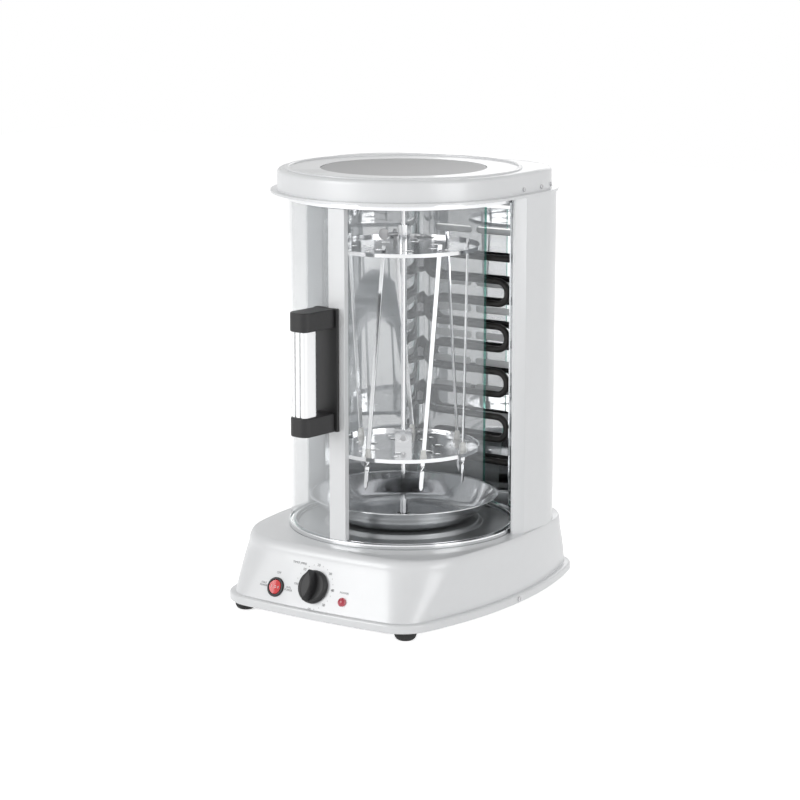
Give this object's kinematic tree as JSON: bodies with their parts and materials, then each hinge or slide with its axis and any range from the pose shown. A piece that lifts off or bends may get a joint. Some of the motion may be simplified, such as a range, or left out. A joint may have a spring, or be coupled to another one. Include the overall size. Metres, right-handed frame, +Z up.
{
  "type": "electric skewer grill",
  "caption": "Upright electric grill: a curved glass door slides round a chamber with a turning cage of skewers, a back heater and a drip pan.",
  "frame": {"origin": "on the ground under the middle of the base, which is the axis of the drum and of the turning cage", "axes": "+Z up, -Y the front with the controls, +X to the right seen from the front"},
  "size_m": [0.3292, 0.4018, 0.5145],
  "materials": {
    "painted_silver": "satin silver-white powder coat",
    "polished_steel": "polished stainless steel",
    "floor_steel": "dark polished steel sheet",
    "mirror_steel": "mirror-polished reflector sheet",
    "warming_steel": "grey anodised sheet",
    "clear_glass": "clear tempered glass",
    "black_plastic": "fine satin black moulding",
    "foot_rubber": "black rubber",
    "bright_aluminium": "bright fluted extrusion",
    "heater_black": "dark oxidised heater sheath",
    "zinc_steel": "zinc-plated steel",
    "red_plastic": "translucent red moulding",
    "red_lens": "deep red lamp lens",
    "pale_ceramic": "white heat-proof bush"
  },
  "bodies": {
    "root": {"base_tray": "painted_silver", "rubber_feet": "foot_rubber", "foot_screws": "zinc_steel", "tray_screws": "zinc_steel", "base_shell": "painted_silver", "cord_gland": "black_plastic", "terminal_block": "pale_ceramic", "floor_plate": "floor_steel", "lower_track": "polished_steel", "upper_track": "polished_steel", "reflector": "mirror_steel", "rear_cover": "painted_silver", "rear_posts": "zinc_steel", "cover_screws": "zinc_steel", "left_column": "painted_silver", "right_column": "painted_silver", "cap_flange": "painted_silver", "cap_shell": "painted_silver", "cap_screws": "zinc_steel", "warming_plate": "warming_steel", "upper_bearing": "pale_ceramic", "heater_element": "heater_black", "heater_terminals": "pale_ceramic", "heater_clips": "zinc_steel", "motor_bracket": "zinc_steel", "gearbox": "zinc_steel", "drive_motor": "zinc_steel", "floor_bush": "pale_ceramic", "timer_body": "pale_ceramic", "switch_body": "black_plastic", "lamp_bezel": "red_lens", "lamp_lens": "red_lens"},
    "cage": {"drive_socket": "polished_steel", "cage_shaft": "polished_steel", "lower_disc": "polished_steel", "upper_disc": "polished_steel", "lower_hub": "polished_steel", "upper_hub": "polished_steel", "hub_screw": "zinc_steel", "skewers": "polished_steel", "skewer_bushes": "pale_ceramic"},
    "thumb_screw": {"thumb_screw": "zinc_steel"},
    "door": {"door_glass": "clear_glass", "door_post": "painted_silver", "door_guides": "zinc_steel", "handle_plate": "black_plastic", "handle_pads": "black_plastic", "handle_lower_arm": "black_plastic", "handle_upper_arm": "black_plastic", "handle_grip": "bright_aluminium"},
    "drip_pan": {"drip_pan": "polished_steel"},
    "timer_knob": {"timer_knob": "black_plastic", "timer_spindle": "zinc_steel"},
    "rocker": {"rocker": "red_plastic"}
  },
  "joints": [
    {"name": "cage_turn", "type": "hinge", "parent": "root", "child": "cage", "pos_m": [0, 0, 0.1], "axis": [0, 0, 1], "continuous": true},
    {"name": "thumb_screw_turn", "type": "hinge", "parent": "cage", "child": "thumb_screw", "pos_m": [-0.00618, -0.00329, 0.4335], "axis": [-0.8829, -0.4695, 0], "range_deg": [-180, 180]},
    {"name": "door_slide_round", "type": "hinge", "parent": "root", "child": "door", "pos_m": [0, 0, 0.1], "axis": [0, 0, 1], "range_deg": [-66, 92]},
    {"name": "pan_lift", "type": "slide", "parent": "root", "child": "drip_pan", "axis": [0, 0, 1], "range_m": [0, 0.03]},
    {"name": "timer_turn", "type": "hinge", "parent": "root", "child": "timer_knob", "pos_m": [-0.0047, -0.17693, 0.04543], "axis": [-0.0038, -0.9205, 0.3907], "range_deg": [-190, 90]},
    {"name": "rocker_tilt", "type": "hinge", "parent": "root", "child": "rocker", "pos_m": [-0.058, -0.17877, 0.03761], "axis": [0.02, 0.3902, 0.9205], "range_deg": [-9, 9]}
  ]
}
